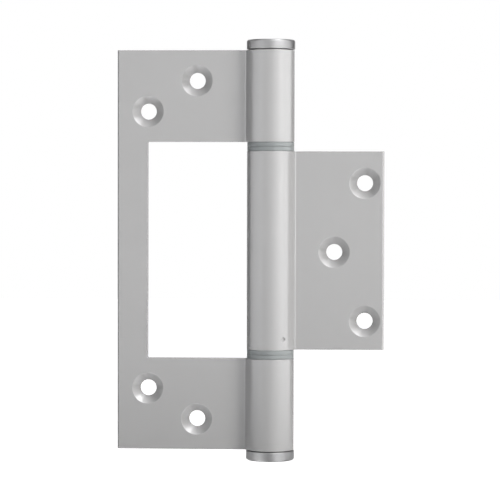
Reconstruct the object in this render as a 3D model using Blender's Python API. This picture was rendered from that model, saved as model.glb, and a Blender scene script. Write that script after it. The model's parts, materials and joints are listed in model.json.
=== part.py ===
"""A surface-fixed door hinge of extruded, satin anodised aluminium, opened out flat.

The large leaf is screwed to the frame and the small leaf to the door. Both are cut from one
extrusion, a flat leaf with a round barrel along one long edge. The large leaf has a window
between its two knuckles, and when the hinge is closed the small leaf lies in that window.
Flanged nylon bushes line the knuckles, a steel pin runs through them, and a cap with a spigot
closes the bore and holds the pin at each end.

The origin is on the back face of the large leaf, in the middle of its spine. +X points from
the large leaf to the small one, +Y out of the back faces, and +Z up along the pin.
"""

import math

import bmesh
import bpy

MM = 0.001

# Pin, bushes and barrel, from the middle outwards
PIN_DIAMETER = 6.0 * MM
PIN_CLEARANCE = 0.1 * MM
PIN_END_CHAMFER = 0.5 * MM
BUSH_WALL = 0.9 * MM
BUSH_SEAT_CLEARANCE = 0.1 * MM
KNUCKLE_WALL = 1.83 * MM

# Leaves
LEAF_THICKNESS = 2.5 * MM
ROOT_FILLET = 0.5 * MM
ROOT_SLOPE = math.radians(57.5)
LONG_EDGE_BEVEL_WIDTH = 0.38 * MM
LONG_EDGE_BEVEL_DEPTH = 0.55 * MM
SASH_LEAF_HEIGHT = 49.6 * MM
SASH_LEAF_REACH = 28.4 * MM
FRAME_KNUCKLE_HEIGHT = 22.9 * MM
SPINE_WIDTH = 7.6 * MM
WINDOW_SIDE_GAP = 2.4 * MM
WINDOW_CORNER_RADIUS = 0.3 * MM

# Bush flanges, which fill the gap between two knuckles
BUSH_FLANGE_THICKNESS = 1.0 * MM
BUSH_FLANGE_SETBACK = 0.05 * MM
BUSH_EDGE_ROUNDING = 0.12 * MM
RUNNING_GAP = 0.1 * MM

# Caps
CAP_OVERHANG = 0.12 * MM
CAP_THICKNESS = 2.5 * MM
CAP_EDGE_RADIUS = 0.55 * MM
CAP_LOWER_CHAMFER = 0.08 * MM
CAP_CROWN = 0.15 * MM
CAP_SEAT_GAP = 0.25 * MM
CAP_SPIGOT_LENGTH = 8.0 * MM
CAP_SPIGOT_CLEARANCE = 0.1 * MM
CAP_SPIGOT_CHAMFER = 0.4 * MM
SPIGOT_TO_BUSH_GAP = 3.0 * MM
PIN_SETBACK = 1.5 * MM
PIN_END_GAP = 0.3 * MM

# Countersunk screw holes. Places are from the leaf's outer long edge and from its nearer end.
# The small leaf's three holes all sit a little low, as they do in the photograph.
SCREW_HOLE_DIAMETER = 4.0 * MM
COUNTERSINK_DIAMETER = 7.8 * MM
COUNTERSINK_ANGLE = math.radians(90)
FRAME_OUTER_HOLE_FROM_EDGE = 7.7 * MM
FRAME_OUTER_HOLE_FROM_END = 15.3 * MM
FRAME_INNER_HOLE_FROM_EDGE = 20.0 * MM
FRAME_INNER_HOLE_FROM_END = 7.6 * MM
SASH_CORNER_HOLE_FROM_EDGE = 4.8 * MM
SASH_CORNER_HOLE_FROM_END = 7.55 * MM
SASH_MIDDLE_HOLE_FROM_EDGE = 12.45 * MM
SASH_HOLES_LOW = 0.38 * MM

# Worked out from the sizes above
PIN_RADIUS = PIN_DIAMETER / 2
BUSH_BORE_RADIUS = PIN_RADIUS + PIN_CLEARANCE
SLEEVE_RADIUS = BUSH_BORE_RADIUS + BUSH_WALL
BORE_RADIUS = SLEEVE_RADIUS + BUSH_SEAT_CLEARANCE
BARREL_RADIUS = BORE_RADIUS + KNUCKLE_WALL
KNUCKLE_GAP = 2 * BUSH_FLANGE_THICKNESS + 3 * RUNNING_GAP
WINDOW_HEIGHT = SASH_LEAF_HEIGHT + 2 * KNUCKLE_GAP
WINDOW_REACH = SASH_LEAF_REACH + WINDOW_SIDE_GAP
FRAME_LEAF_HEIGHT = WINDOW_HEIGHT + 2 * FRAME_KNUCKLE_HEIGHT
FRAME_LEAF_REACH = WINDOW_REACH + SPINE_WIDTH
SLEEVE_LENGTH = FRAME_KNUCKLE_HEIGHT - CAP_SPIGOT_LENGTH - SPIGOT_TO_BUSH_GAP
PIN_HALF_LENGTH = FRAME_LEAF_HEIGHT / 2 - PIN_SETBACK
PIN_AXIS = (FRAME_LEAF_REACH - SPINE_WIDTH / 2, -LEAF_THICKNESS / 2, 0)

# How far a cutter reaches past what it cuts
CUT_MARGIN = 1.0 * MM

# Facets in a full turn, and in the small rounded edges
BARREL_STEPS = 48
HOLE_STEPS = 32
EDGE_STEPS = 4
WELD_DISTANCE = 1e-7
SMOOTH_ANGLE = math.radians(30)


def clear_scene():
    """Remove whatever the open file holds."""
    for obj in list(bpy.data.objects):
        bpy.data.objects.remove(obj)


def principled(name, colour, roughness, metallic):
    """A plain Principled material."""
    material = bpy.data.materials.new(name)
    material.use_nodes = True
    shader = material.node_tree.nodes["Principled BSDF"]
    shader.inputs["Base Color"].default_value = (*colour, 1)
    shader.inputs["Roughness"].default_value = roughness
    shader.inputs["Metallic"].default_value = metallic
    material.diffuse_color = (*colour, 1)
    return material


def pivot(name):
    """An empty on the pin's axis, at mid-height, that carries one side of the hinge."""
    empty = bpy.data.objects.new(name, None)
    empty.location = PIN_AXIS
    empty.empty_display_size = BARREL_RADIUS
    bpy.context.scene.collection.objects.link(empty)
    return empty


def mesh_object(name, shape, parent, material=None):
    """Turn a bmesh into a named object with smooth round faces."""
    mesh = bpy.data.meshes.new(name)
    shape.to_mesh(mesh)
    shape.free()
    mesh.shade_smooth()
    mesh.set_sharp_from_angle(angle=SMOOTH_ANGLE)
    obj = bpy.data.objects.new(name, mesh)
    if material:
        mesh.materials.append(material)
    obj.parent = parent
    bpy.context.scene.collection.objects.link(obj)
    return obj


def arc(centre, radius, start, end, steps):
    """Points along an arc in the plane, both ends included."""
    points = []
    for step in range(steps + 1):
        angle = start + (end - start) * step / steps
        points.append((centre[0] + radius * math.cos(angle), centre[1] + radius * math.sin(angle)))
    return points


def extruded(name, outline, low, high, parent, material=None):
    """A closed outline in the XY plane, drawn out along Z."""
    shape = bmesh.new()
    corners = [shape.verts.new((x, y, low)) for x, y in outline]
    base = shape.faces.new(corners)
    wall = bmesh.ops.extrude_face_region(shape, geom=[base])
    moved = [item for item in wall["geom"] if isinstance(item, bmesh.types.BMVert)]
    bmesh.ops.translate(shape, verts=moved, vec=(0, 0, high - low))
    bmesh.ops.recalc_face_normals(shape, faces=shape.faces)
    return mesh_object(name, shape, parent, material)


def turned(name, profile, steps, parent, material=None):
    """A closed profile of (radius, height) points, turned about Z."""
    shape = bmesh.new()
    corners = [shape.verts.new((radius, 0, height)) for radius, height in profile]
    edges = [shape.edges.new(pair) for pair in zip(corners, corners[1:] + corners[:1])]
    bmesh.ops.spin(
        shape,
        geom=corners + edges,
        cent=(0, 0, 0),
        axis=(0, 0, 1),
        angle=math.tau,
        steps=steps,
        use_merge=True,
    )
    bmesh.ops.remove_doubles(shape, verts=shape.verts, dist=WELD_DISTANCE)
    on_axis = [edge for edge in shape.edges if all(v.co.xy.length < WELD_DISTANCE for v in edge.verts)]
    bmesh.ops.delete(shape, geom=on_axis, context="EDGES")
    bmesh.ops.recalc_face_normals(shape, faces=shape.faces)
    return mesh_object(name, shape, parent, material)


def cut(obj, cutters):
    """Cut each cutter from the object, keep the result as its mesh and remove the cutters."""
    for cutter in cutters:
        cutter.hide_render = True
        cutter.display_type = "WIRE"
        boolean = obj.modifiers.new(cutter.name, "BOOLEAN")
        boolean.operation = "DIFFERENCE"
        boolean.solver = "EXACT"
        boolean.object = cutter
    graph = bpy.context.evaluated_depsgraph_get()
    plain = obj.data
    obj.data = bpy.data.meshes.new_from_object(obj.evaluated_get(graph))
    obj.data.name = obj.name
    obj.modifiers.clear()
    obj.data.shade_smooth()
    obj.data.set_sharp_from_angle(angle=SMOOTH_ANGLE)
    bpy.data.meshes.remove(plain)
    for cutter in cutters:
        bpy.data.objects.remove(cutter)


def leaf_outline(reach, side):
    """The extrusion's section, with the pin at (0, 0) and the leaf towards side, -1 or +1.

    A round barrel that runs into a straight, steep flank and a small fillet where it meets
    the leaf, the leaf on its middle line, and a bevel on both sides of the outer edge.
    """
    half = LEAF_THICKNESS / 2
    bevel = min(LONG_EDGE_BEVEL_DEPTH, 0.8 * half)
    quarter = math.pi / 2
    # The flank is tangent to the barrel, so where the round ends sets its slope. It can't
    # end lower than where the fillet itself would touch the barrel.
    lowest = math.asin((half + ROOT_FILLET) / (BARREL_RADIUS + ROOT_FILLET))
    root_angle = max(quarter - ROOT_SLOPE, lowest)
    reach_of_root = BARREL_RADIUS + ROOT_FILLET - (half + ROOT_FILLET) * math.sin(root_angle)
    root_x = reach_of_root / math.cos(root_angle)
    barrel = arc((0, 0), BARREL_RADIUS, root_angle, math.tau - root_angle, BARREL_STEPS)
    lower_root = arc((root_x, -half - ROOT_FILLET), ROOT_FILLET, math.pi - root_angle, quarter, EDGE_STEPS)
    lower_edge = [(reach - LONG_EDGE_BEVEL_WIDTH, -half), (reach, bevel - half)]
    outline = barrel + lower_root[1:] + lower_edge
    upper_edge = [(x, -y) for x, y in reversed(lower_edge)]
    upper_root = [(x, -y) for x, y in reversed(lower_root[1:])]
    outline += upper_edge + upper_root
    return [(side * x, y) for x, y in outline]


def bore_cutter(height, parent):
    """The round hole along a barrel."""
    reach = height / 2 + CUT_MARGIN
    outline = arc((0, 0), BORE_RADIUS, 0, math.tau, BARREL_STEPS)[:-1]
    return extruded("bore_cutter", outline, -reach, reach, parent)


def window_cutter(parent):
    """The window in the large leaf, which also parts the barrel into its two knuckles."""
    half = WINDOW_HEIGHT / 2
    radius = WINDOW_CORNER_RADIUS
    left = -WINDOW_REACH + radius
    right = BARREL_RADIUS + CUT_MARGIN
    quarter = math.pi / 2
    upper_corner = arc((left, half - radius), radius, quarter, 2 * quarter, EDGE_STEPS)
    lower_corner = arc((left, radius - half), radius, 2 * quarter, 3 * quarter, EDGE_STEPS)
    outline = [(right, half), *upper_corner, *lower_corner, (right, -half)]
    cutter = extruded("window_cutter", outline, -right, right, parent)
    cutter.rotation_euler.x = quarter
    return cutter


def screw_hole_cutter(x, z, parent):
    """A countersunk hole whose wide end is on the front face, which faces -Y."""
    hole = SCREW_HOLE_DIAMETER / 2
    rim = COUNTERSINK_DIAMETER / 2
    slope = math.tan(COUNTERSINK_ANGLE / 2)
    cone_depth = (rim - hole) / slope
    back = -LEAF_THICKNESS - CUT_MARGIN
    profile = [
        (0, CUT_MARGIN),
        (rim + CUT_MARGIN * slope, CUT_MARGIN),
        (hole, -cone_depth),
        (hole, min(back, -cone_depth - CUT_MARGIN)),
        (0, min(back, -cone_depth - CUT_MARGIN)),
    ]
    cutter = turned("screw_hole_cutter", profile, HOLE_STEPS, parent)
    cutter.location = (x, -LEAF_THICKNESS / 2, z)
    cutter.rotation_euler.x = math.pi / 2
    return cutter


def frame_leaf(parent, aluminium):
    """The large leaf, with its window, two knuckles and four screw holes."""
    half = FRAME_LEAF_HEIGHT / 2
    leaf = extruded("frame_leaf", leaf_outline(FRAME_LEAF_REACH, -1), -half, half, parent, aluminium)
    outer_x = FRAME_OUTER_HOLE_FROM_EDGE - FRAME_LEAF_REACH
    inner_x = FRAME_INNER_HOLE_FROM_EDGE - FRAME_LEAF_REACH
    cutters = [window_cutter(parent), bore_cutter(FRAME_LEAF_HEIGHT, parent)]
    for end in (-1, 1):
        outer_z = end * (half - FRAME_OUTER_HOLE_FROM_END)
        inner_z = end * (half - FRAME_INNER_HOLE_FROM_END)
        cutters.append(screw_hole_cutter(outer_x, outer_z, parent))
        cutters.append(screw_hole_cutter(inner_x, inner_z, parent))
    cut(leaf, cutters)


def sash_leaf(parent, aluminium):
    """The small leaf, one long knuckle with three screw holes beside it."""
    half = SASH_LEAF_HEIGHT / 2
    leaf = extruded("sash_leaf", leaf_outline(SASH_LEAF_REACH, 1), -half, half, parent, aluminium)
    corner_x = SASH_LEAF_REACH - SASH_CORNER_HOLE_FROM_EDGE
    corner_z = half - SASH_CORNER_HOLE_FROM_END
    middle_x = SASH_LEAF_REACH - SASH_MIDDLE_HOLE_FROM_EDGE
    cutters = [bore_cutter(SASH_LEAF_HEIGHT, parent)]
    for x, z in ((corner_x, corner_z), (middle_x, 0), (corner_x, -corner_z)):
        cutters.append(screw_hole_cutter(x, z - SASH_HOLES_LOW, parent))
    cut(leaf, cutters)


def hinge_pin(parent, steel):
    """The straight pin, with a small chamfer at each end."""
    end = PIN_HALF_LENGTH
    neck = PIN_RADIUS - PIN_END_CHAMFER
    shoulder = end - PIN_END_CHAMFER
    profile = [(0, end), (neck, end), (PIN_RADIUS, shoulder)]
    profile += [(radius, -height) for radius, height in reversed(profile)]
    turned("hinge_pin", profile, BARREL_STEPS, parent, steel)


def bush(name, seat_height, up, parent, nylon):
    """A flanged bush: its sleeve goes up (+1) or down (-1) into the knuckle that ends at seat_height."""
    rim = BARREL_RADIUS - BUSH_FLANGE_SETBACK
    inner = RUNNING_GAP
    outer = inner + BUSH_FLANGE_THICKNESS
    rounding = BUSH_EDGE_ROUNDING
    rim_middle = rim - rounding
    near_edge = arc((rim_middle, -inner - rounding), rounding, math.pi / 2, 0, EDGE_STEPS // 2)
    far_edge = arc((rim_middle, rounding - outer), rounding, 0, -math.pi / 2, EDGE_STEPS // 2)
    profile = [(BUSH_BORE_RADIUS, SLEEVE_LENGTH), (SLEEVE_RADIUS, SLEEVE_LENGTH), (SLEEVE_RADIUS, -inner)]
    profile += near_edge + far_edge + [(BUSH_BORE_RADIUS, -outer)]
    placed = [(radius, seat_height + up * height) for radius, height in profile]
    turned(name, placed, BARREL_STEPS, parent, nylon)


def cap(name, end, parent, steel):
    """A crowned cap on the knuckle's outer end, +1 or -1, with a spigot that holds the pin's end."""
    seat = FRAME_LEAF_HEIGHT / 2
    under = seat + CAP_SEAT_GAP
    shoulder = under + CAP_THICKNESS - CAP_CROWN
    rim = BARREL_RADIUS + CAP_OVERHANG
    radius = min(CAP_EDGE_RADIUS, CAP_THICKNESS - CAP_CROWN - CAP_LOWER_CHAMFER)
    face = rim - radius
    spigot = BORE_RADIUS - CAP_SPIGOT_CLEARANCE
    mouth = seat - CAP_SPIGOT_LENGTH
    socket = PIN_RADIUS + PIN_CLEARANCE
    floor = PIN_HALF_LENGTH + PIN_END_GAP
    crown_radius = (face**2 + CAP_CROWN**2) / (2 * CAP_CROWN)
    crown_angle = math.asin(face / crown_radius)
    crown_centre = (0, shoulder + CAP_CROWN - crown_radius)
    crown = arc(crown_centre, crown_radius, math.pi / 2, math.pi / 2 - crown_angle, EDGE_STEPS)
    edge = arc((face, shoulder - radius), radius, math.pi / 2, 0, 2 * EDGE_STEPS)
    profile = crown + edge[1:]
    profile += [
        (rim, under + CAP_LOWER_CHAMFER),
        (rim - CAP_LOWER_CHAMFER, under),
        (spigot, under),
        (spigot, mouth + CAP_SPIGOT_CHAMFER),
        (spigot - CAP_SPIGOT_CHAMFER, mouth),
        (socket, mouth),
        (socket, floor),
        (0, floor),
    ]
    placed = [(reach, end * height) for reach, height in profile]
    turned(name, placed, BARREL_STEPS, parent, steel)


def build():
    clear_scene()
    aluminium = principled("satin_anodised_aluminium", (0.62, 0.62, 0.63), 0.38, 1.0)
    cap_metal = principled("nickel_plated_steel", (0.58, 0.57, 0.56), 0.25, 1.0)
    pin_steel = principled("stainless_steel", (0.56, 0.56, 0.57), 0.3, 1.0)
    nylon = principled("grey_nylon", (0.3, 0.33, 0.33), 0.45, 0.0)
    frame_side = pivot("frame_side_pivot")
    sash_side = pivot("sash_side_pivot")
    frame_leaf(frame_side, aluminium)
    sash_leaf(sash_side, aluminium)
    hinge_pin(frame_side, pin_steel)
    cap("top_cap", 1, frame_side, cap_metal)
    cap("bottom_cap", -1, frame_side, cap_metal)
    window_end = WINDOW_HEIGHT / 2
    sash_end = SASH_LEAF_HEIGHT / 2
    bush("upper_frame_bush", window_end, 1, frame_side, nylon)
    bush("lower_frame_bush", -window_end, -1, frame_side, nylon)
    bush("upper_sash_bush", sash_end, -1, sash_side, nylon)
    bush("lower_sash_bush", -sash_end, 1, sash_side, nylon)


if __name__ == "__main__":
    build()
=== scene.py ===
"""The finished look of a surface-fixed door hinge of satin anodised aluminium, opened flat.

The two extruded leaves with their countersunk holes, the turned end caps and the nylon bushes are
rebuilt finer than their CAD nodes, in the same places and to the same sizes where they show, but
for the bushes' flanges: they are 0.09 mm thicker, because a door's weight closes their gaps. The
pin, which hardly shows, keeps its CAD mesh. The file is laid out as a Blender add-on and is run as
a script.
"""

import json
import math
import bmesh
import bpy
from mathutils import Matrix, Vector


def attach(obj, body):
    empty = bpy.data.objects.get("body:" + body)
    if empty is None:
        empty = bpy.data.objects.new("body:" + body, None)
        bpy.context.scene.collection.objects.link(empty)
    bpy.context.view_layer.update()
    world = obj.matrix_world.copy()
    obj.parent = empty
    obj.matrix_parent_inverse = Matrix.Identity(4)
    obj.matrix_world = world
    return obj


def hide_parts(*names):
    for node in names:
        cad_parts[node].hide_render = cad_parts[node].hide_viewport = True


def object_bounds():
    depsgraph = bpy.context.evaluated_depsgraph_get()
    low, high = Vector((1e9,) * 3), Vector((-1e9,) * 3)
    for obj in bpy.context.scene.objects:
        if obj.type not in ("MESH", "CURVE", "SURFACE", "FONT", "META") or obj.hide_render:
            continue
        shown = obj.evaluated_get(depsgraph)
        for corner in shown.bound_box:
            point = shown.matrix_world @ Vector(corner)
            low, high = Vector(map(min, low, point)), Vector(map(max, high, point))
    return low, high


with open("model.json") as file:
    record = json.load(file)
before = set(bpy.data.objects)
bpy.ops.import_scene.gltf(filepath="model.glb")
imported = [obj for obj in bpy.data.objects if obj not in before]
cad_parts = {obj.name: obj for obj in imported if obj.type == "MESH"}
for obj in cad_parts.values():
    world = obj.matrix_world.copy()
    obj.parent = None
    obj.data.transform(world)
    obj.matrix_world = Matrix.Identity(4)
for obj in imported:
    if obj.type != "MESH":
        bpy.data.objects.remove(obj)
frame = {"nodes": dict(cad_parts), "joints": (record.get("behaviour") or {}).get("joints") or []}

bl_info = {
    "name": "Surface-fixed door hinge",
    "version": (1, 0, 0),
    "blender": (4, 5, 0),
    "location": "View3D > Sidebar > Hinge",
    "description": "Builds the leaves, caps and bushes of a door hinge around its CAD frame",
    "category": "Object",
}

MM = 0.001
CAD_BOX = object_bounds()
PIN_AXIS = Vector(frame["joints"][0]["pos_m"])
QUARTER = math.pi / 2

# Facets round a barrel, cap or bush, round a hole, and in a small rounded edge
BARREL_STEPS = 96
HOLE_STEPS = 64
EDGE_STEPS = 8

# How far a cutter reaches past what it cuts
CUT_MARGIN = 1.0 * MM

# Points closer than this are one point
WELD = 0.005 * MM

# Where the middle knuckle has its nick: how far round from the front, and how high
NICK_ANGLE = math.radians(36)
NICK_HEIGHT = -22.05 * MM
# How far the ball that makes the nick stands off the knuckle, as a share of its radius
NICK_STAND_OFF = 1 / 8

# Edges sharper than these are shaded as edges on turned pieces, and broken on the leaves
SMOOTH_ANGLE = math.radians(25)
BROKEN_ANGLE = math.radians(30)

# Full height of every fine bump in the finishes
BUMP_HEIGHT = 0.02 * MM


def linear(hex_colour):
    """An sRGB hex colour as linear red, green and blue."""
    channels = [int(hex_colour[start : start + 2], 16) / 255 for start in (0, 2, 4)]
    return tuple(c / 12.92 if c <= 0.04045 else ((c + 0.055) / 1.055) ** 2.4 for c in channels)


def length(name, description, default):
    """A property for one length, in metres."""
    return bpy.props.FloatProperty(
        name=name, description=description, default=default, min=0.0, unit="LENGTH", precision=5
    )


def colour(name, description, hex_colour):
    """A property for one colour."""
    return bpy.props.FloatVectorProperty(
        name=name,
        description=description,
        default=linear(hex_colour),
        size=3,
        min=0.0,
        max=1.0,
        subtype="COLOR",
    )


class HingeSizes(bpy.types.PropertyGroup):
    """Sizes of the leaves, barrel and holes."""

    frame_height: length("Large Leaf Height", "Height of the large leaf", 100.0 * MM)
    frame_reach: length("Large Leaf Reach", "From the pin's axis to the large leaf's edge", 38.4 * MM)
    sash_height: length("Small Leaf Height", "Height of the small leaf", 49.6 * MM)
    sash_reach: length("Small Leaf Reach", "From the pin's axis to the small leaf's edge", 28.4 * MM)
    thickness: length("Leaf Thickness", "Thickness of both leaves", 2.5 * MM)
    barrel: length("Barrel Diameter", "Diameter of the knuckles", 11.86 * MM)
    bore: length("Bore Diameter", "Diameter of the hole through the knuckles", 8.2 * MM)
    root_fillet: length("Root Fillet", "Radius where a leaf meets its barrel", 0.5 * MM)
    root_slope: bpy.props.FloatProperty(
        name="Root Slope",
        description="Steepness of the straight flank between a barrel and its leaf",
        default=math.radians(57.5),
        subtype="ANGLE",
    )
    bevel_width: length("Long Edge Bevel", "How far the outer edge's bevel reaches in", 0.38 * MM)
    bevel_depth: length("Long Edge Bevel Depth", "How deep the outer edge's bevel goes", 0.55 * MM)
    edge_break: length("Edge Break", "Width of the tumbled edges", 0.08 * MM)
    window_height: length("Window Height", "Height of the large leaf's window", 54.2 * MM)
    window_reach: length("Window Reach", "From the pin's axis to the window's far side", 30.8 * MM)
    window_corner: length("Window Corner", "Radius of the window's corners", 0.3 * MM)
    hole: length("Screw Hole", "Diameter of the screw holes", 4.0 * MM)
    countersink: length("Countersink", "Diameter of the countersinks at the front face", 7.8 * MM)
    outer_edge: length("Outer Holes, From Edge", "Large leaf, outer pair to its edge", 7.7 * MM)
    outer_end: length("Outer Holes, From End", "Large leaf, outer pair to its ends", 15.3 * MM)
    inner_edge: length("Inner Holes, From Edge", "Large leaf, inner pair to its edge", 20.0 * MM)
    inner_end: length("Inner Holes, From End", "Large leaf, inner pair to its ends", 7.6 * MM)
    corner_edge: length("Corner Holes, From Edge", "Small leaf, corner pair to its edge", 4.8 * MM)
    corner_end: length("Corner Holes, From End", "Small leaf, corner pair to its ends", 7.55 * MM)
    middle_edge: length("Middle Hole, From Edge", "Small leaf, middle hole to its edge", 12.45 * MM)
    holes_low: length("Holes Set Low", "How low the small leaf's holes sit", 0.38 * MM)
    nick: length("Nick", "Radius of the small dent in the middle knuckle", 0.55 * MM)


class HingeCapSizes(bpy.types.PropertyGroup):
    """Sizes of the turned end caps."""

    diameter: length("Cap Diameter", "Diameter of a cap's head", 12.1 * MM)
    thickness: length("Cap Thickness", "Height of a cap's head", 2.5 * MM)
    seat_gap: length("Seat Gap", "Shadow gap between a cap and its knuckle", 0.25 * MM)
    edge_radius: length("Edge Radius", "Radius round the cap's outer edge", 0.55 * MM)
    crown: length("Crown", "How far the face rises in the middle", 0.15 * MM)
    lower_chamfer: length("Lower Chamfer", "Chamfer under the head", 0.08 * MM)
    spigot: length("Spigot Diameter", "Diameter of the spigot in the bore", 8.0 * MM)
    spigot_length: length("Spigot Length", "How far the spigot reaches into the bore", 8.0 * MM)
    socket: length("Pin Socket", "Diameter of the socket for the pin", 6.2 * MM)
    socket_floor: length("Socket Floor", "From the knuckle's end to the socket's floor", 1.2 * MM)


class HingeBushSizes(bpy.types.PropertyGroup):
    """Sizes of the flanged bushes."""

    flange: length("Flange Thickness", "Thickness of a bush's flange", 1.09 * MM)
    flange_diameter: length("Flange Diameter", "Diameter of a bush's flange", 11.76 * MM)
    sleeve: length("Sleeve Diameter", "Diameter of the sleeve in the knuckle", 8.0 * MM)
    sleeve_length: length("Sleeve Length", "How far the sleeve reaches into the knuckle", 11.9 * MM)
    bore: length("Bush Bore", "Diameter of the hole for the pin", 6.2 * MM)
    rounding: length("Edge Rounding", "Radius round a flange's rim", 0.06 * MM)
    running_gap: length("Running Gap", "Gap between a flange and what it faces", 0.04 * MM)


class HingeColours(bpy.types.PropertyGroup):
    """Colours of the four finishes."""

    aluminium: colour("Aluminium", "Satin anodised aluminium", "c2c2c3")
    nickel: colour("Nickel", "Turned nickel plate of the caps", "cacacb")
    steel: colour("Steel", "Ground stainless steel of the pin", "c9c8c6")
    nylon: colour("Nylon", "Grey nylon of the bushes", "a0a5a7")


def add(tree, kind, settings=None, **inputs):
    """Add a node. A socket given as an input is linked, and any other value is set."""
    node = tree.nodes.new(kind)
    for key, value in (settings or {}).items():
        setattr(node, key, value)
    for key, value in inputs.items():
        socket = node.inputs[int(key[1:])] if key[1:].isdigit() else node.inputs[key.replace("_", " ")]
        if isinstance(value, bpy.types.NodeSocket):
            tree.links.new(value, socket)
        else:
            socket.default_value = value
    return node


def new_material(name):
    """An empty node material, with its tree and its output node."""
    material = bpy.data.materials.new(name)
    material.use_nodes = True
    tree = material.node_tree
    tree.nodes.clear()
    return material, tree, tree.nodes.new("ShaderNodeOutputMaterial")


def satin_anodised_aluminium(colour_value):
    """Extruded aluminium, etched and clear anodised: a soft satin sheen with faint die lines."""
    material, tree, output = new_material("satin_anodised_aluminium")
    place = add(tree, "ShaderNodeTexCoord").outputs["Object"]
    # Die lines run along the extrusion, drawn as coarse as 1.8 to the millimetre so that they show
    across = add(tree, "ShaderNodeMapping", Vector=place, Scale=(1, 1, 0.004)).outputs[0]
    lines = add(tree, "ShaderNodeTexNoise", Vector=across, Scale=1.8 / MM, Detail=2.0).outputs[0]
    # Etched grain of 0.2 mm, also coarser than the real one
    grain = add(tree, "ShaderNodeTexNoise", Vector=place, Scale=5.0 / MM, Detail=1.0).outputs[0]
    # Faint clouds from the anodising bath, about 17 mm across
    cloud = add(tree, "ShaderNodeTexNoise", Vector=place, Scale=0.06 / MM, Detail=2.0).outputs[0]
    shade = add(tree, "ShaderNodeMapRange", Value=cloud, To_Min=0.985, To_Max=1.015).outputs[0]
    tone = add(tree, "ShaderNodeMapRange", Value=lines, To_Min=0.996, To_Max=1.004).outputs[0]
    tint = add(tree, "ShaderNodeMath", {"operation": "MULTIPLY"}, _0=shade, _1=tone).outputs[0]
    base = add(tree, "ShaderNodeVectorMath", {"operation": "SCALE"}, _0=colour_value, Scale=tint)
    rough = add(tree, "ShaderNodeMapRange", Value=lines, To_Min=0.25, To_Max=0.27).outputs[0]
    height = add(tree, "ShaderNodeMath", {"operation": "ADD"}, _0=lines, _1=grain).outputs[0]
    bump = add(tree, "ShaderNodeBump", Strength=0.01, Distance=BUMP_HEIGHT, Height=height).outputs[0]
    shader = add(
        tree,
        "ShaderNodeBsdfPrincipled",
        Base_Color=base.outputs[0],
        Metallic=0.55,
        Roughness=rough,
        Normal=bump,
    )
    tree.links.new(shader.outputs[0], output.inputs[0])
    return material


def turned_nickel(colour_value):
    """Steel turned on a lathe and nickel plated: bright, with fine rings round the axis."""
    material, tree, output = new_material("turned_nickel_plate")
    place = add(tree, "ShaderNodeTexCoord").outputs["Object"]
    centred = add(tree, "ShaderNodeMapping", Vector=place, Location=tuple(-PIN_AXIS)).outputs[0]
    parts = add(tree, "ShaderNodeSeparateXYZ", Vector=centred)
    flat = add(tree, "ShaderNodeCombineXYZ", X=parts.outputs[0], Y=parts.outputs[1]).outputs[0]
    radius = add(tree, "ShaderNodeVectorMath", {"operation": "LENGTH"}, _0=flat).outputs["Value"]
    rings = add(tree, "ShaderNodeCombineXYZ", X=radius, Z=parts.outputs[2]).outputs[0]
    # Tool marks 0.2 mm apart
    marks = add(tree, "ShaderNodeTexNoise", Vector=rings, Scale=5.0 / MM, Detail=2.0).outputs[0]
    rough = add(tree, "ShaderNodeMapRange", Value=marks, To_Min=0.44, To_Max=0.48).outputs[0]
    bump = add(tree, "ShaderNodeBump", Strength=0.02, Distance=BUMP_HEIGHT, Height=marks).outputs[0]
    # The rings draw each reflection out along the axis
    round_axis = add(tree, "ShaderNodeTangent", {"direction_type": "RADIAL", "axis": "Z"}).outputs[0]
    shader = add(
        tree,
        "ShaderNodeBsdfPrincipled",
        Base_Color=(*colour_value, 1),
        Metallic=1.0,
        Roughness=rough,
        Anisotropic=0.65,
        Anisotropic_Rotation=0.25,
        Normal=bump,
        Tangent=round_axis,
    )
    tree.links.new(shader.outputs[0], output.inputs[0])
    return material


def ground_steel(colour_value):
    """Stainless steel rod, centreless ground: a fine, even, soft shine."""
    material, tree, output = new_material("ground_stainless_steel")
    place = add(tree, "ShaderNodeTexCoord").outputs["Object"]
    # Marks of the grinding wheel, 0.25 mm
    marks = add(tree, "ShaderNodeTexNoise", Vector=place, Scale=4.0 / MM, Detail=2.0).outputs[0]
    rough = add(tree, "ShaderNodeMapRange", Value=marks, To_Min=0.26, To_Max=0.34).outputs[0]
    shader = add(
        tree, "ShaderNodeBsdfPrincipled", Base_Color=(*colour_value, 1), Metallic=1.0, Roughness=rough
    )
    tree.links.new(shader.outputs[0], output.inputs[0])
    return material


def moulded_nylon(colour_value):
    """Moulded nylon with a mineral filling: even grey, a faint metallic sheen and a fine texture."""
    material, tree, output = new_material("moulded_grey_nylon")
    place = add(tree, "ShaderNodeTexCoord").outputs["Object"]
    # Patches of filling 2 mm across
    cloud = add(tree, "ShaderNodeTexNoise", Vector=place, Scale=0.5 / MM, Detail=2.0).outputs[0]
    shade = add(tree, "ShaderNodeMapRange", Value=cloud, To_Min=0.96, To_Max=1.04).outputs[0]
    base = add(tree, "ShaderNodeVectorMath", {"operation": "SCALE"}, _0=colour_value, Scale=shade)
    # The mould's spark-eroded texture, 0.13 mm
    texture = add(tree, "ShaderNodeTexNoise", Vector=place, Scale=8.0 / MM, Detail=1.0).outputs[0]
    bump = add(tree, "ShaderNodeBump", Strength=0.1, Distance=BUMP_HEIGHT, Height=texture).outputs[0]
    shader = add(
        tree,
        "ShaderNodeBsdfPrincipled",
        Base_Color=base.outputs[0],
        Metallic=0.3,
        Roughness=0.32,
        IOR=1.53,
        Subsurface_Weight=1.0,
        Subsurface_Radius=(1, 1, 1),
        Subsurface_Scale=3 * MM,
        Normal=bump,
    )
    tree.links.new(shader.outputs[0], output.inputs[0])
    return material


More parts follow.
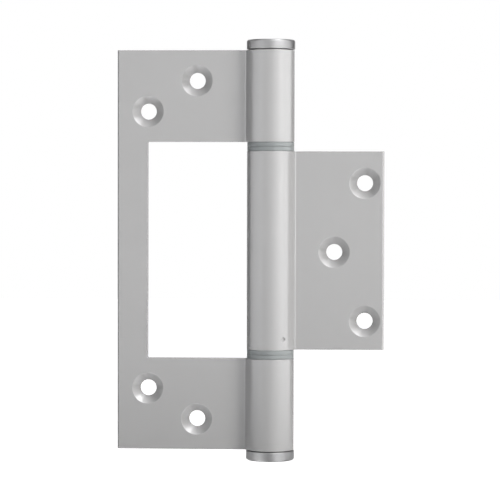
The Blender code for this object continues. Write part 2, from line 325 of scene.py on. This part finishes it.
def finish_for(slot_name):
    """The material for one of the record's slots, made once."""
    makers = {
        "leaf_aluminium": (satin_anodised_aluminium, "aluminium"),
        "cap_metal": (turned_nickel, "nickel"),
        "pin_steel": (ground_steel, "steel"),
        "bush_nylon": (moulded_nylon, "nylon"),
    }
    maker, colour_name = makers[slot_name]
    known = [m for m in bpy.data.materials if m.get("hinge_slot") == slot_name]
    if known:
        return known[0]
    material = maker(tuple(getattr(bpy.context.scene.hinge_colours, colour_name)))
    material["hinge_slot"] = slot_name
    return material


def arc(centre, radius, start, end, steps):
    """Points along an arc in the plane, both ends included."""
    points = []
    for step in range(steps + 1):
        angle = start + (end - start) * step / steps
        points.append((centre[0] + radius * math.cos(angle), centre[1] + radius * math.sin(angle)))
    return points


def link_mesh(name, shape):
    """Turn a bmesh into an object of that name in the scene."""
    mesh = bpy.data.meshes.new(name)
    shape.to_mesh(mesh)
    shape.free()
    obj = bpy.data.objects.new(name, mesh)
    bpy.context.scene.collection.objects.link(obj)
    return obj


def extruded(name, outline, low, high, along="Z"):
    """A closed outline in the XY plane drawn out along Z, or in the XZ plane along Y."""
    shape = bmesh.new()
    corners = [shape.verts.new((x, y, low)) for x, y in outline]
    base = shape.faces.new(corners)
    wall = bmesh.ops.extrude_face_region(shape, geom=[base])
    moved = [item for item in wall["geom"] if isinstance(item, bmesh.types.BMVert)]
    bmesh.ops.translate(shape, verts=moved, vec=(0, 0, high - low))
    if along == "Y":
        bmesh.ops.rotate(shape, verts=shape.verts, matrix=Matrix.Rotation(QUARTER, 3, "X"))
    bmesh.ops.translate(shape, verts=shape.verts, vec=PIN_AXIS)
    bmesh.ops.recalc_face_normals(shape, faces=shape.faces)
    return link_mesh(name, shape)


def leaf_section(sizes, reach, side):
    """The extrusion's section: round barrel, steep flanks, leaf on its middle line, bevelled edge."""
    half = sizes.thickness / 2
    radius = sizes.barrel / 2
    fillet = sizes.root_fillet
    slope = sizes.root_slope
    root_angle = QUARTER - slope
    root_x = (radius + fillet - (half + fillet) * math.cos(slope)) / math.sin(slope)
    barrel = arc((0, 0), radius, root_angle, math.tau - root_angle, BARREL_STEPS)
    root = arc((root_x, -half - fillet), fillet, math.pi - root_angle, QUARTER, EDGE_STEPS)
    edge = [(reach - sizes.bevel_width, -half), (reach, sizes.bevel_depth - half)]
    lower = root[1:] + edge
    upper = [(x, -y) for x, y in reversed(lower)]
    return [(side * x, y) for x, y in barrel + lower + upper]


def window_outline(sizes):
    """The window's outline, open past the barrel on the pin's side."""
    half = sizes.window_height / 2
    radius = sizes.window_corner
    left = radius - sizes.window_reach
    right = sizes.barrel / 2 + CUT_MARGIN
    upper = arc((left, half - radius), radius, QUARTER, math.pi, EDGE_STEPS)
    lower = arc((left, radius - half), radius, math.pi, 3 * QUARTER, EDGE_STEPS)
    return [(right, half), *upper, *lower, (right, -half)]


def hole_tree():
    """Geometry Nodes that sink two pairs of countersunk holes into a leaf."""
    tree = bpy.data.node_groups.new("countersunk_holes", "GeometryNodeTree")
    interface = tree.interface
    interface.new_socket("Leaf", in_out="INPUT", socket_type="NodeSocketGeometry")
    for name in (
        "Hole Diameter",
        "Countersink Diameter",
        "Leaf Thickness",
        "Front Face",
        "First X",
        "First Spacing",
        "Second X",
        "Second Spacing",
        "Middle Height",
        "Margin",
    ):
        interface.new_socket(name, in_out="INPUT", socket_type="NodeSocketFloat")
    interface.new_socket("Material", in_out="INPUT", socket_type="NodeSocketMaterial")
    interface.new_socket("Leaf", in_out="OUTPUT", socket_type="NodeSocketGeometry")
    given = tree.nodes.new("NodeGroupInput").outputs

    def sums(operation, first, second):
        return add(tree, "ShaderNodeMath", {"operation": operation}, _0=first, _1=second).outputs[0]

    def standing(geometry, height):
        place = add(tree, "ShaderNodeCombineXYZ", Y=height).outputs[0]
        turned = add(
            tree, "GeometryNodeTransform", Geometry=geometry, Translation=place, Rotation=(QUARTER, 0, 0)
        )
        return turned.outputs[0]

    hole = sums("MULTIPLY", given["Hole Diameter"], 0.5)
    rim = sums("MULTIPLY", given["Countersink Diameter"], 0.5)
    # The countersink is a 90 degree cone, drawn on past the front face
    depth = sums("SUBTRACT", rim, hole)
    cone = add(
        tree,
        "GeometryNodeMeshCone",
        Vertices=HOLE_STEPS,
        Radius_Bottom=hole,
        Radius_Top=sums("ADD", rim, given["Margin"]),
        Depth=sums("ADD", depth, given["Margin"]),
    ).outputs[0]
    shaft = add(
        tree,
        "GeometryNodeMeshCylinder",
        Vertices=HOLE_STEPS,
        Radius=hole,
        Depth=sums("MULTIPLY", given["Leaf Thickness"], 3.0),
    ).outputs[0]
    cone = standing(cone, sums("ADD", given["Front Face"], depth))
    shaft = standing(shaft, sums("ADD", given["Front Face"], given["Leaf Thickness"]))
    places = []
    for pair in ("First", "Second"):
        spacing = given[pair + " Spacing"]
        low = sums("SUBTRACT", given["Middle Height"], sums("MULTIPLY", spacing, 0.5))
        start = add(tree, "ShaderNodeCombineXYZ", X=given[pair + " X"], Z=low).outputs[0]
        step = add(tree, "ShaderNodeCombineXYZ", Z=spacing).outputs[0]
        line = add(tree, "GeometryNodeMeshLine", Count=2, Start_Location=start, Offset=step)
        places.append(line.outputs[0])
    joined = tree.nodes.new("GeometryNodeJoinGeometry")
    for place in places:
        tree.links.new(place, joined.inputs[0])
    # A single hole has no spacing, so its two points are merged into one
    points = add(tree, "GeometryNodeMergeByDistance", Geometry=joined.outputs[0]).outputs[0]
    cutters = []
    for cutter in (cone, shaft):
        copies = add(tree, "GeometryNodeInstanceOnPoints", Points=points, Instance=cutter).outputs[0]
        cutters.append(add(tree, "GeometryNodeRealizeInstances", Geometry=copies).outputs[0])
    boolean = add(tree, "GeometryNodeMeshBoolean", {"operation": "DIFFERENCE", "solver": "EXACT"})
    tree.links.new(given["Leaf"], boolean.inputs["Mesh 1"])
    for cutter in cutters:
        tree.links.new(cutter, boolean.inputs["Mesh 2"])
    real = add(tree, "GeometryNodeRealizeInstances", Geometry=boolean.outputs[0]).outputs[0]
    done = add(tree, "GeometryNodeSetMaterial", Geometry=real, Material=given["Material"]).outputs[0]
    tree.links.new(done, tree.nodes.new("NodeGroupOutput").inputs[0])
    return tree


def turned_tree():
    """Geometry Nodes that turn a profile round the pin's axis and put one at each end."""
    tree = bpy.data.node_groups.new("turned_pair", "GeometryNodeTree")
    interface = tree.interface
    interface.new_socket("Profile", in_out="INPUT", socket_type="NodeSocketGeometry")
    interface.new_socket("Segments", in_out="INPUT", socket_type="NodeSocketInt")
    interface.new_socket("Path Radius", in_out="INPUT", socket_type="NodeSocketFloat")
    interface.new_socket("Axis", in_out="INPUT", socket_type="NodeSocketVector")
    interface.new_socket("Material", in_out="INPUT", socket_type="NodeSocketMaterial")
    interface.new_socket("Pair", in_out="OUTPUT", socket_type="NodeSocketGeometry")
    given = tree.nodes.new("NodeGroupInput").outputs
    profile = add(tree, "GeometryNodeMeshToCurve", Mesh=given["Profile"]).outputs[0]
    circle = add(
        tree, "GeometryNodeCurvePrimitiveCircle", Resolution=given["Segments"], Radius=given["Path Radius"]
    ).outputs[0]
    upright = add(tree, "GeometryNodeSetCurveNormal", {"mode": "Z_UP"}, Curve=circle).outputs[0]
    swept = add(tree, "GeometryNodeCurveToMesh", Curve=upright, Profile_Curve=profile).outputs[0]
    shape = add(tree, "GeometryNodeMergeByDistance", Geometry=swept, Distance=0.002 * MM).outputs[0]
    smooth = add(tree, "GeometryNodeSetShadeSmooth", Geometry=shape).outputs[0]
    upper = add(tree, "GeometryNodeTransform", Geometry=smooth, Translation=given["Axis"]).outputs[0]
    lower = add(
        tree,
        "GeometryNodeTransform",
        Geometry=smooth,
        Translation=given["Axis"],
        Rotation=(math.pi, 0, 0),
    ).outputs[0]
    pair = tree.nodes.new("GeometryNodeJoinGeometry")
    tree.links.new(upper, pair.inputs[0])
    tree.links.new(lower, pair.inputs[0])
    real = add(tree, "GeometryNodeRealizeInstances", Geometry=pair.outputs[0]).outputs[0]
    done = add(tree, "GeometryNodeSetMaterial", Geometry=real, Material=given["Material"]).outputs[0]
    tree.links.new(done, tree.nodes.new("NodeGroupOutput").inputs[0])
    return tree


def tree_named(name, maker):
    """The node group of that name, made once."""
    return bpy.data.node_groups.get(name) or maker()


def add_nodes(obj, tree, values):
    """Put a Geometry Nodes modifier on an object and set its named inputs."""
    modifier = obj.modifiers.new(tree.name, "NODES")
    modifier.node_group = tree
    sockets = [s for s in tree.interface.items_tree if s.item_type == "SOCKET" and s.in_out == "INPUT"]
    identifiers = {socket.name: socket.identifier for socket in sockets}
    for name, value in values.items():
        modifier[identifiers[name]] = value


def made_plain(obj):
    """Replace an object's mesh by what its modifiers make of it, and remove them."""
    graph = bpy.context.evaluated_depsgraph_get()
    plain = bpy.data.meshes.new_from_object(obj.evaluated_get(graph), depsgraph=graph)
    old = obj.data
    obj.modifiers.clear()
    obj.data = plain
    obj.data.name = obj.name
    bpy.data.meshes.remove(old)
    if not plain.vertices:
        raise RuntimeError(f"{obj.name} came out empty")


def weld(obj):
    """Merge points that lie together, drop what is left loose, and turn every face outwards."""
    shape = bmesh.new()
    shape.from_mesh(obj.data)
    bmesh.ops.remove_doubles(shape, verts=shape.verts, dist=WELD)
    bmesh.ops.dissolve_degenerate(shape, edges=shape.edges, dist=WELD)
    loose = [edge for edge in shape.edges if edge.is_wire]
    bmesh.ops.delete(shape, geom=loose, context="EDGES")
    bmesh.ops.recalc_face_normals(shape, faces=shape.faces)
    shape.to_mesh(obj.data)
    shape.free()


def hand_over(obj, body, nodes):
    """Tell the frame what a finished piece rides on and stands for."""
    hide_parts(*nodes)
    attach(obj, body)


def cut_leaf(leaf, cutters):
    """Cut the straight-sided openings from a leaf."""
    for cutter in cutters:
        boolean = leaf.modifiers.new(cutter.name, "BOOLEAN")
        boolean.operation = "DIFFERENCE"
        boolean.solver = "EXACT"
        boolean.object = cutter
    made_plain(leaf)
    for cutter in cutters:
        bpy.data.objects.remove(cutter)


def finish_leaf(leaf, sizes, holes):
    """Sink the screw holes, break the sharp edges and even out the shading."""
    values = {
        "Hole Diameter": sizes.hole,
        "Countersink Diameter": sizes.countersink,
        "Leaf Thickness": sizes.thickness,
        "Front Face": PIN_AXIS.y - sizes.thickness / 2,
        "Margin": CUT_MARGIN,
        "Material": finish_for("leaf_aluminium"),
    }
    add_nodes(leaf, tree_named("countersunk_holes", hole_tree), {**values, **holes})
    made_plain(leaf)
    weld(leaf)
    bevel = leaf.modifiers.new("edge_break", "BEVEL")
    bevel.width = sizes.edge_break
    bevel.segments = 2
    bevel.limit_method = "ANGLE"
    bevel.angle_limit = BROKEN_ANGLE
    bevel.use_clamp_overlap = False
    weighted = leaf.modifiers.new("even_shading", "WEIGHTED_NORMAL")
    weighted.keep_sharp = True
    leaf.data.shade_smooth()
    made_plain(leaf)


def nick_cutter(sizes):
    """A small ball that dents the front of the middle knuckle, low on its right."""
    shape = bmesh.new()
    bmesh.ops.create_icosphere(shape, subdivisions=4, radius=sizes.nick)
    out = sizes.barrel / 2 + sizes.nick * NICK_STAND_OFF
    place = Vector((out * math.sin(NICK_ANGLE), -out * math.cos(NICK_ANGLE), NICK_HEIGHT))
    bmesh.ops.translate(shape, verts=shape.verts, vec=PIN_AXIS + place)
    return link_mesh("nick_cutter", shape)


def bore_cutter(sizes, height):
    """The round hole along a barrel."""
    reach = height / 2 + CUT_MARGIN
    outline = arc((0, 0), sizes.bore / 2, 0, math.tau, HOLE_STEPS)[:-1]
    return extruded("bore_cutter", outline, -reach, reach)


class HINGE_OT_large_leaf(bpy.types.Operator):
    """Build the large leaf with its window, two knuckles and four screw holes"""

    bl_idname = "hinge.large_leaf"
    bl_label = "Build Large Leaf"

    def execute(self, context):
        sizes = context.scene.hinge_sizes
        half = sizes.frame_height / 2
        leaf = extruded("large_leaf", leaf_section(sizes, sizes.frame_reach, -1), -half, half)
        reach = sizes.barrel / 2 + CUT_MARGIN
        window = extruded("window_cutter", window_outline(sizes), -reach, reach, "Y")
        cut_leaf(leaf, [window, bore_cutter(sizes, sizes.frame_height)])
        holes = {
            "First X": PIN_AXIS.x - sizes.frame_reach + sizes.outer_edge,
            "First Spacing": sizes.frame_height - 2 * sizes.outer_end,
            "Second X": PIN_AXIS.x - sizes.frame_reach + sizes.inner_edge,
            "Second Spacing": sizes.frame_height - 2 * sizes.inner_end,
            "Middle Height": PIN_AXIS.z,
        }
        finish_leaf(leaf, sizes, holes)
        hand_over(leaf, "frame_side", ["frame_leaf"])
        return {"FINISHED"}


class HINGE_OT_small_leaf(bpy.types.Operator):
    """Build the small leaf, one long knuckle with three screw holes beside it"""

    bl_idname = "hinge.small_leaf"
    bl_label = "Build Small Leaf"

    def execute(self, context):
        sizes = context.scene.hinge_sizes
        half = sizes.sash_height / 2
        leaf = extruded("small_leaf", leaf_section(sizes, sizes.sash_reach, 1), -half, half)
        cut_leaf(leaf, [bore_cutter(sizes, sizes.sash_height), nick_cutter(sizes)])
        holes = {
            "First X": PIN_AXIS.x + sizes.sash_reach - sizes.corner_edge,
            "First Spacing": sizes.sash_height - 2 * sizes.corner_end,
            "Second X": PIN_AXIS.x + sizes.sash_reach - sizes.middle_edge,
            "Second Spacing": 0.0,
            "Middle Height": PIN_AXIS.z - sizes.holes_low,
        }
        finish_leaf(leaf, sizes, holes)
        hand_over(leaf, "sash_side", ["sash_leaf"])
        return {"FINISHED"}


def profile_object(name, points, path_radius):
    """A closed profile as a ring of edges, for the turned-pair tree."""
    shape = bmesh.new()
    corners = [shape.verts.new((radius - path_radius, height, 0)) for radius, height in points]
    for pair in zip(corners, corners[1:] + corners[:1]):
        shape.edges.new(pair)
    return link_mesh(name, shape)


def turned_pair(name, points, body, slot_name, nodes):
    """Turn a profile of (radius, height) points, and stand one at each end of the barrel."""
    path_radius = max(radius for radius, _ in points)
    pair = profile_object(name, points, path_radius)
    values = {
        "Segments": BARREL_STEPS,
        "Path Radius": path_radius,
        "Axis": PIN_AXIS,
        "Material": finish_for(slot_name),
    }
    add_nodes(pair, tree_named("turned_pair", turned_tree), values)
    made_plain(pair)
    weld(pair)
    pair.data.set_sharp_from_angle(angle=SMOOTH_ANGLE)
    hand_over(pair, body, nodes)


class HINGE_OT_caps(bpy.types.Operator):
    """Build the two crowned caps with their spigots"""

    bl_idname = "hinge.caps"
    bl_label = "Build End Caps"

    def execute(self, context):
        sizes = context.scene.hinge_cap_sizes
        seat = context.scene.hinge_sizes.frame_height / 2
        under = seat + sizes.seat_gap
        shoulder = under + sizes.thickness - sizes.crown
        rim = sizes.diameter / 2
        face = rim - sizes.edge_radius
        crown_radius = (face**2 + sizes.crown**2) / (2 * sizes.crown)
        crown_angle = math.asin(face / crown_radius)
        centre = (0, shoulder + sizes.crown - crown_radius)
        crown = arc(centre, crown_radius, QUARTER, QUARTER - crown_angle, EDGE_STEPS)
        edge = arc((face, shoulder - sizes.edge_radius), sizes.edge_radius, QUARTER, 0, EDGE_STEPS)
        mouth = seat - sizes.spigot_length
        points = crown + edge[1:]
        points += [
            (rim, under + sizes.lower_chamfer),
            (rim - sizes.lower_chamfer, under),
            (sizes.spigot / 2, under),
            (sizes.spigot / 2, mouth),
            (sizes.socket / 2, mouth),
            (sizes.socket / 2, seat - sizes.socket_floor),
            (0, seat - sizes.socket_floor),
        ]
        turned_pair("end_caps", points, "frame_side", "cap_metal", ["top_cap", "bottom_cap"])
        return {"FINISHED"}


def bush_points(sizes, seat, up):
    """A bush's profile: its sleeve goes up (+1) or down (-1) from the knuckle's end."""
    rim = sizes.flange_diameter / 2
    inner = sizes.running_gap
    outer = inner + sizes.flange
    rounding = sizes.rounding
    near = arc((rim - rounding, -inner - rounding), rounding, QUARTER, 0, EDGE_STEPS // 2)
    far = arc((rim - rounding, rounding - outer), rounding, 0, -QUARTER, EDGE_STEPS // 2)
    sleeve = sizes.sleeve / 2
    points = [(sizes.bore / 2, sizes.sleeve_length), (sleeve, sizes.sleeve_length), (sleeve, -inner)]
    points += near + far + [(sizes.bore / 2, -outer)]
    return [(radius, seat + up * height) for radius, height in points]


class HINGE_OT_bushes(bpy.types.Operator):
    """Build the four flanged nylon bushes"""

    bl_idname = "hinge.bushes"
    bl_label = "Build Bushes"

    def execute(self, context):
        sizes = context.scene.hinge_bush_sizes
        leaf_sizes = context.scene.hinge_sizes
        window_end = leaf_sizes.window_height / 2
        sash_end = leaf_sizes.sash_height / 2
        turned_pair(
            "frame_bushes",
            bush_points(sizes, window_end, 1),
            "frame_side",
            "bush_nylon",
            ["upper_frame_bush", "lower_frame_bush"],
        )
        turned_pair(
            "sash_bushes",
            bush_points(sizes, sash_end, -1),
            "sash_side",
            "bush_nylon",
            ["upper_sash_bush", "lower_sash_bush"],
        )
        return {"FINISHED"}


class HINGE_OT_pin(bpy.types.Operator):
    """Give the CAD's pin its ground steel"""

    bl_idname = "hinge.pin"
    bl_label = "Finish Pin"

    def execute(self, context):
        pin = frame["nodes"]["hinge_pin"]
        for material_slot in pin.material_slots:
            material_slot.link = "OBJECT"
            material_slot.material = finish_for("pin_steel")
        return {"FINISHED"}


# Where the photograph was taken from, against the pin's axis at mid-height, and how it was aimed
CAMERA_PLACE = (26.05 * MM, -586.28 * MM, 18.83 * MM)
CAMERA_YAW = math.radians(3.046)
CAMERA_PITCH = math.radians(1.832)
CAMERA_ROLL = math.radians(0.134)
CAMERA_LENS = 168.67

# How far the floor lies under the hinge, and how far it reaches to each side
FLOOR_DROP = 120 * MM
FLOOR_REACH = 3.0

# Facets each way in a curved card, and what is left of its light in a second reflection
CARD_STEPS = 16
SECOND_REFLECTION = 0.2

# The soft lamps: name, azimuth, elevation, distance, width, height, brightness, tint
SOFTBOXES = (
    ("key_softbox", 55, 17, 0.8, 0.26, 0.62, 13.0, "fffdf9"),
    ("top_softbox", 0, 88, 0.8, 0.8, 0.8, 4.0, "ffffff"),
)

# The cards and black flags that the metal reflects: name, azimuths, elevations, distance, brightness
CARDS = (
    ("front_card", (-37, 16), (-20, 26), 0.8, 0.62),
    ("right_card", (16, 40), (-20, 34), 0.8, 0.9),
    ("far_right_card", (40, 75), (-20, 34), 0.8, 1.0),
    ("side_right_card", (75, 110), (-20, 16), 0.8, 1.15),
    ("left_card", (-75, -37), (-20, 26), 0.8, 0.9),
    ("side_left_card", (-106, -75), (-20, 13), 0.8, 0.95),
    ("right_flag", (119, 150), (-30, 30), 0.8, 0.1),
    ("back_card", (150, 210), (-30, 30), 0.8, 0.5),
    ("left_flag", (210, 250), (-30, 30), 0.8, 0.1),
    ("high_left_flag", (-150, -70), (34, 80), 0.8, 0.05),
    ("high_left_card", (-70, -30), (34, 80), 0.8, 0.7),
    ("high_front_card", (-30, 20), (34, 80), 0.8, 0.5),
    ("high_right_card", (16, 78), (34, 64), 0.8, 4.0),
    ("high_side_card", (78, 98), (16, 64), 0.8, 1.2),
    ("high_right_flag", (98, 150), (34, 80), 0.8, 0.05),
    ("side_left_flag", (-106, -75), (13, 34), 0.8, 0.05),
    ("side_right_flag", (98, 119), (16, 34), 0.8, 0.05),
    ("low_flag", (-110, 119), (-42, -12), 0.4, 0.0),
    ("under_left_flag", (-180, -85), (-90, -40), 0.15, 0.2),
    ("under_left_card", (-85, -32), (-90, -40), 0.15, 1.4),
    ("under_front_flag", (-32, 24), (-90, -40), 0.15, 0.0),
    ("under_right_card", (24, 80), (-90, -40), 0.15, 1.3),
    ("under_right_flag", (80, 180), (-90, -40), 0.15, 0.2),
)


def place_camera():
    """The camera, matched to the photograph."""
    data = bpy.data.cameras.new("photo_camera")
    data.lens = CAMERA_LENS
    data.sensor_width = 36.0
    data.clip_start = 0.01
    data.clip_end = 20.0
    camera = bpy.data.objects.new("photo_camera", data)
    bpy.context.scene.collection.objects.link(camera)
    bpy.context.scene.camera = camera
    cos_yaw, sin_yaw = math.cos(CAMERA_YAW), math.sin(CAMERA_YAW)
    cos_pitch, sin_pitch = math.cos(CAMERA_PITCH), math.sin(CAMERA_PITCH)
    forward = Vector((-cos_pitch * sin_yaw, cos_pitch * cos_yaw, -sin_pitch))
    level = Vector((cos_yaw, sin_yaw, 0))
    upright = level.cross(forward)
    right = level * math.cos(CAMERA_ROLL) + upright * math.sin(CAMERA_ROLL)
    up = upright * math.cos(CAMERA_ROLL) - level * math.sin(CAMERA_ROLL)
    turn = Matrix((right, up, -forward)).transposed().to_4x4()
    camera.matrix_world = Matrix.Translation(PIN_AXIS + Vector(CAMERA_PLACE)) @ turn


def studio_world():
    """A white room: white to the eye and in reflections, but dim as a light on matt surfaces."""
    world = bpy.data.worlds.new("white_room")
    bpy.context.scene.world = world
    world.use_nodes = True
    tree = world.node_tree
    tree.nodes.clear()
    rays = add(tree, "ShaderNodeLightPath").outputs
    seen = add(
        tree, "ShaderNodeMath", {"operation": "MAXIMUM"}, _0=rays["Is Camera Ray"], _1=rays["Is Glossy Ray"]
    ).outputs[0]
    seen = add(
        tree, "ShaderNodeMath", {"operation": "MAXIMUM"}, _0=seen, _1=rays["Is Transmission Ray"]
    ).outputs[0]
    strength = add(tree, "ShaderNodeMapRange", Value=seen, To_Min=0.05, To_Max=1.0).outputs[0]
    light = add(tree, "ShaderNodeBackground", Color=(1, 1, 1, 1), Strength=strength).outputs[0]
    output = tree.nodes.new("ShaderNodeOutputWorld")
    tree.links.new(light, output.inputs[0])


def direction(azimuth, elevation):
    """A unit vector from the hinge. Azimuth 0 is towards the camera and +90 to its right."""
    turn, rise = math.radians(azimuth), math.radians(elevation)
    return Vector((math.sin(turn) * math.cos(rise), -math.cos(turn) * math.cos(rise), math.sin(rise)))


def softbox(name, azimuth, elevation, distance, width, height, brightness, tint):
    """A large lamp that faces the hinge. A brightness of 1 is as bright as the white room."""
    data = bpy.data.lights.new(name, "AREA")
    data.shape = "RECTANGLE"
    data.size = width
    data.size_y = height
    data.color = linear(tint)
    data.energy = brightness * math.pi * width * height
    way = direction(azimuth, elevation)
    lamp = bpy.data.objects.new(name, data)
    lamp.location = PIN_AXIS + way * distance
    lamp.rotation_euler = way.to_track_quat("Z", "Y").to_euler()
    lamp.visible_camera = False
    lamp.visible_glossy = False
    bpy.context.scene.collection.objects.link(lamp)


def card(name, azimuths, elevations, distance, brightness):
    """A curved card round the hinge, which shows only in the metal's reflections."""
    shape = bmesh.new()
    rows = []
    for step in range(CARD_STEPS + 1):
        azimuth = azimuths[0] + (azimuths[1] - azimuths[0]) * step / CARD_STEPS
        row = []
        for rise in range(CARD_STEPS + 1):
            elevation = elevations[0] + (elevations[1] - elevations[0]) * rise / CARD_STEPS
            row.append(shape.verts.new(PIN_AXIS + direction(azimuth, elevation) * distance))
        rows.append(row)
    for here, there in zip(rows, rows[1:]):
        for low in range(CARD_STEPS):
            shape.faces.new((here[low], here[low + 1], there[low + 1], there[low]))
    panel = link_mesh(name, shape)
    material, tree, output = new_material(name)
    # Rough metal scatters most of the light away before a second reflection
    bounce = add(tree, "ShaderNodeLightPath").outputs["Glossy Depth"]
    strength = add(
        tree,
        "ShaderNodeMapRange",
        Value=bounce,
        From_Min=1.0,
        From_Max=2.0,
        To_Min=brightness,
        To_Max=SECOND_REFLECTION * brightness,
    ).outputs[0]
    shader = add(tree, "ShaderNodeEmission", Color=(1, 1, 1, 1), Strength=strength)
    tree.links.new(shader.outputs[0], output.inputs[0])
    panel.data.materials.append(material)
    panel.visible_camera = False
    panel.visible_diffuse = False
    panel.visible_shadow = False


def lay_floor():
    """A pale floor, so far under the hinge that its shadow falls outside the picture."""
    shape = bmesh.new()
    height = CAD_BOX[0].z - FLOOR_DROP
    for x, y in ((-1, -1), (1, -1), (1, 1), (-1, 1)):
        shape.verts.new((PIN_AXIS.x + FLOOR_REACH * x, PIN_AXIS.y + FLOOR_REACH * y, height))
    shape.faces.new(shape.verts)
    floor = link_mesh("studio_floor", shape)
    material, tree, output = new_material("white_paper")
    rays = add(tree, "ShaderNodeLightPath").outputs
    lift = add(tree, "ShaderNodeMapRange", Value=rays["Is Camera Ray"], To_Min=0.3, To_Max=1.0).outputs[0]
    shader = add(
        tree,
        "ShaderNodeBsdfPrincipled",
        Base_Color=(0.8, 0.8, 0.8, 1),
        Roughness=0.9,
        Emission_Color=(1, 1, 1, 1),
        Emission_Strength=lift,
    )
    # Clear on its underside, so that the hinge can be looked at from below
    underside = add(tree, "ShaderNodeNewGeometry").outputs["Backfacing"]
    clear = tree.nodes.new("ShaderNodeBsdfTransparent").outputs[0]
    sheet = add(tree, "ShaderNodeMixShader", _0=underside, _1=shader.outputs[0], _2=clear)
    tree.links.new(sheet.outputs[0], output.inputs[0])
    floor.data.materials.append(material)


class HINGE_OT_stage(bpy.types.Operator):
    """Set up the camera, the floor and the soft studio light"""

    bl_idname = "hinge.stage"
    bl_label = "Set Up Stage"

    def execute(self, context):
        context.scene.view_settings.view_transform = "Standard"
        place_camera()
        studio_world()
        lay_floor()
        for values in SOFTBOXES:
            softbox(*values)
        for values in CARDS:
            card(*values)
        return {"FINISHED"}


class HINGE_PT_panel(bpy.types.Panel):
    """Lists the steps that build the hinge"""

    bl_idname = "HINGE_PT_panel"
    bl_label = "Door Hinge"
    bl_space_type = "VIEW_3D"
    bl_region_type = "UI"
    bl_category = "Hinge"

    def draw(self, context):
        for step in STEPS:
            self.layout.operator(step.bl_idname)


GROUPS = {
    "hinge_sizes": HingeSizes,
    "hinge_cap_sizes": HingeCapSizes,
    "hinge_bush_sizes": HingeBushSizes,
    "hinge_colours": HingeColours,
}
STEPS = (
    HINGE_OT_large_leaf,
    HINGE_OT_small_leaf,
    HINGE_OT_caps,
    HINGE_OT_bushes,
    HINGE_OT_pin,
    HINGE_OT_stage,
)


def register():
    for group in (*GROUPS.values(), *STEPS, HINGE_PT_panel):
        bpy.utils.register_class(group)
    for name, group in GROUPS.items():
        setattr(bpy.types.Scene, name, bpy.props.PointerProperty(type=group))


def unregister():
    for name in GROUPS:
        delattr(bpy.types.Scene, name)
    for group in (HINGE_PT_panel, *reversed(STEPS), *GROUPS.values()):
        bpy.utils.unregister_class(group)


def main():
    register()
    for step in STEPS:
        group, name = step.bl_idname.split(".")
        getattr(getattr(bpy.ops, group), name)()


if __name__ == "__main__":
    main()
